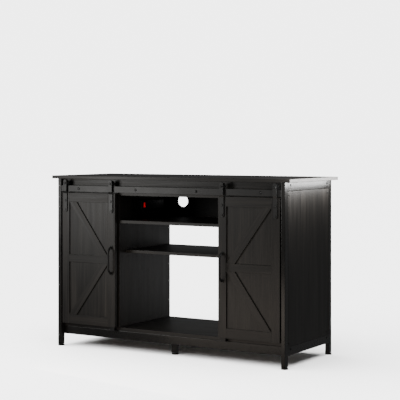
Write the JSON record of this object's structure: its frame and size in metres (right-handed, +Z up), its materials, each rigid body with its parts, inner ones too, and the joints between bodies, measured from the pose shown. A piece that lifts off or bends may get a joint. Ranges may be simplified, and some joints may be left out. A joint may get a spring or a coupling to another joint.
{
  "type": "aquarium stand cabinet",
  "caption": "Steel-framed aquarium stand with a black wood-grain top, two barn-style sliding doors on a track, an open shelved centre bay, levelling feet and a power strip.",
  "frame": {"origin": "on the floor, under the middle of the whole stand with its handles", "axes": "+X to the right of someone facing the doors, the doors face -Y, +Z up"},
  "size_m": [1.318, 0.5178, 0.8403],
  "materials": {
    "steel": "black powder coat, satin",
    "wood": "black wood-grain foil on board, satin",
    "backing": "black hardboard, matt",
    "hardware": "black coated steel, semi-gloss",
    "nylon": "black nylon",
    "plastic": "black plastic, fine texture",
    "rocker": "lit red rocker"
  },
  "bodies": {
    "cabinet": {"front_left_post": "steel", "front_right_post": "steel", "rear_left_post": "steel", "rear_right_post": "steel", "left_top_side_rail": "steel", "left_bottom_side_rail": "steel", "right_top_side_rail": "steel", "right_bottom_side_rail": "steel", "front_bottom_rail": "steel", "rear_bottom_rail": "steel", "front_top_rail": "steel", "rear_top_rail": "steel", "centre_cross_bar": "steel", "centre_front_leg": "steel", "centre_rear_leg": "steel", "top_board": "wood", "fascia_board": "wood", "bottom_panel": "wood", "left_side_panel": "wood", "right_side_panel": "wood", "left_partition": "wood", "right_partition": "wood", "upper_shelf": "wood", "middle_shelf": "wood", "left_cabinet_shelf": "wood", "right_cabinet_shelf": "wood", "left_back_panel": "backing", "right_back_panel": "backing", "centre_back_panel": "backing", "track_bar": "hardware", "track_bolt_1": "hardware", "track_bolt_2": "hardware", "track_bolt_3": "hardware", "track_bolt_4": "hardware", "left_door_guide": "nylon", "right_door_guide": "nylon", "power_strip": "plastic"},
    "front_left_foot": {"front_left_foot": "nylon"},
    "front_right_foot": {"front_right_foot": "nylon"},
    "rear_left_foot": {"rear_left_foot": "nylon"},
    "rear_right_foot": {"rear_right_foot": "nylon"},
    "centre_front_foot": {"centre_front_foot": "nylon"},
    "centre_rear_foot": {"centre_rear_foot": "nylon"},
    "left_door": {"left_door": "wood", "left_handle": "hardware", "left_outer_hanger": "hardware", "left_outer_axle_bolt": "hardware", "left_inner_hanger": "hardware", "left_inner_axle_bolt": "hardware"},
    "right_door": {"right_door": "wood", "right_handle": "hardware", "right_outer_hanger": "hardware", "right_outer_axle_bolt": "hardware", "right_inner_hanger": "hardware", "right_inner_axle_bolt": "hardware"},
    "left_outer_wheel": {"left_outer_wheel": "nylon"},
    "left_inner_wheel": {"left_inner_wheel": "nylon"},
    "right_outer_wheel": {"right_outer_wheel": "nylon"},
    "right_inner_wheel": {"right_inner_wheel": "nylon"},
    "power_switch": {"power_switch": "rocker"}
  },
  "joints": [
    {"name": "left_door_slide", "type": "slide", "parent": "cabinet", "child": "left_door", "axis": [1, 0, 0], "range_m": [0, 0.28]},
    {"name": "left_outer_wheel_spin", "type": "hinge", "parent": "left_door", "child": "left_outer_wheel", "pos_m": [-0.5815, -0.2265, 0.8033], "axis": [0, 1, 0], "continuous": true},
    {"name": "left_inner_wheel_spin", "type": "hinge", "parent": "left_door", "child": "left_inner_wheel", "pos_m": [-0.3085, -0.2265, 0.8033], "axis": [0, 1, 0], "continuous": true},
    {"name": "right_door_slide", "type": "slide", "parent": "cabinet", "child": "right_door", "axis": [-1, 0, 0], "range_m": [0, 0.28]},
    {"name": "right_outer_wheel_spin", "type": "hinge", "parent": "right_door", "child": "right_outer_wheel", "pos_m": [0.5815, -0.2265, 0.8033], "axis": [0, -1, 0], "continuous": true},
    {"name": "right_inner_wheel_spin", "type": "hinge", "parent": "right_door", "child": "right_inner_wheel", "pos_m": [0.3085, -0.2265, 0.8033], "axis": [0, -1, 0], "continuous": true},
    {"name": "front_left_foot_screw", "type": "slide", "parent": "cabinet", "child": "front_left_foot", "axis": [0, 0, -1], "range_m": [0, 0.01]},
    {"name": "front_right_foot_screw", "type": "slide", "parent": "cabinet", "child": "front_right_foot", "axis": [0, 0, -1], "range_m": [0, 0.01]},
    {"name": "rear_left_foot_screw", "type": "slide", "parent": "cabinet", "child": "rear_left_foot", "axis": [0, 0, -1], "range_m": [0, 0.01]},
    {"name": "rear_right_foot_screw", "type": "slide", "parent": "cabinet", "child": "rear_right_foot", "axis": [0, 0, -1], "range_m": [0, 0.01]},
    {"name": "centre_front_foot_screw", "type": "slide", "parent": "cabinet", "child": "centre_front_foot", "axis": [0, 0, -1], "range_m": [0, 0.01]},
    {"name": "centre_rear_foot_screw", "type": "slide", "parent": "cabinet", "child": "centre_rear_foot", "axis": [0, 0, -1], "range_m": [0, 0.01]},
    {"name": "power_switch_rock", "type": "hinge", "parent": "cabinet", "child": "power_switch", "pos_m": [-0.2537, -0.028, 0.695], "axis": [0, 1, 0], "range_deg": [0, 16]}
  ],
  "couplings": [
    {"joint": "left_outer_wheel_spin", "follows": "left_door_slide", "rad_per_m": 90.909},
    {"joint": "left_inner_wheel_spin", "follows": "left_door_slide", "rad_per_m": 90.909},
    {"joint": "right_outer_wheel_spin", "follows": "right_door_slide", "rad_per_m": 90.909},
    {"joint": "right_inner_wheel_spin", "follows": "right_door_slide", "rad_per_m": 90.909}
  ]
}
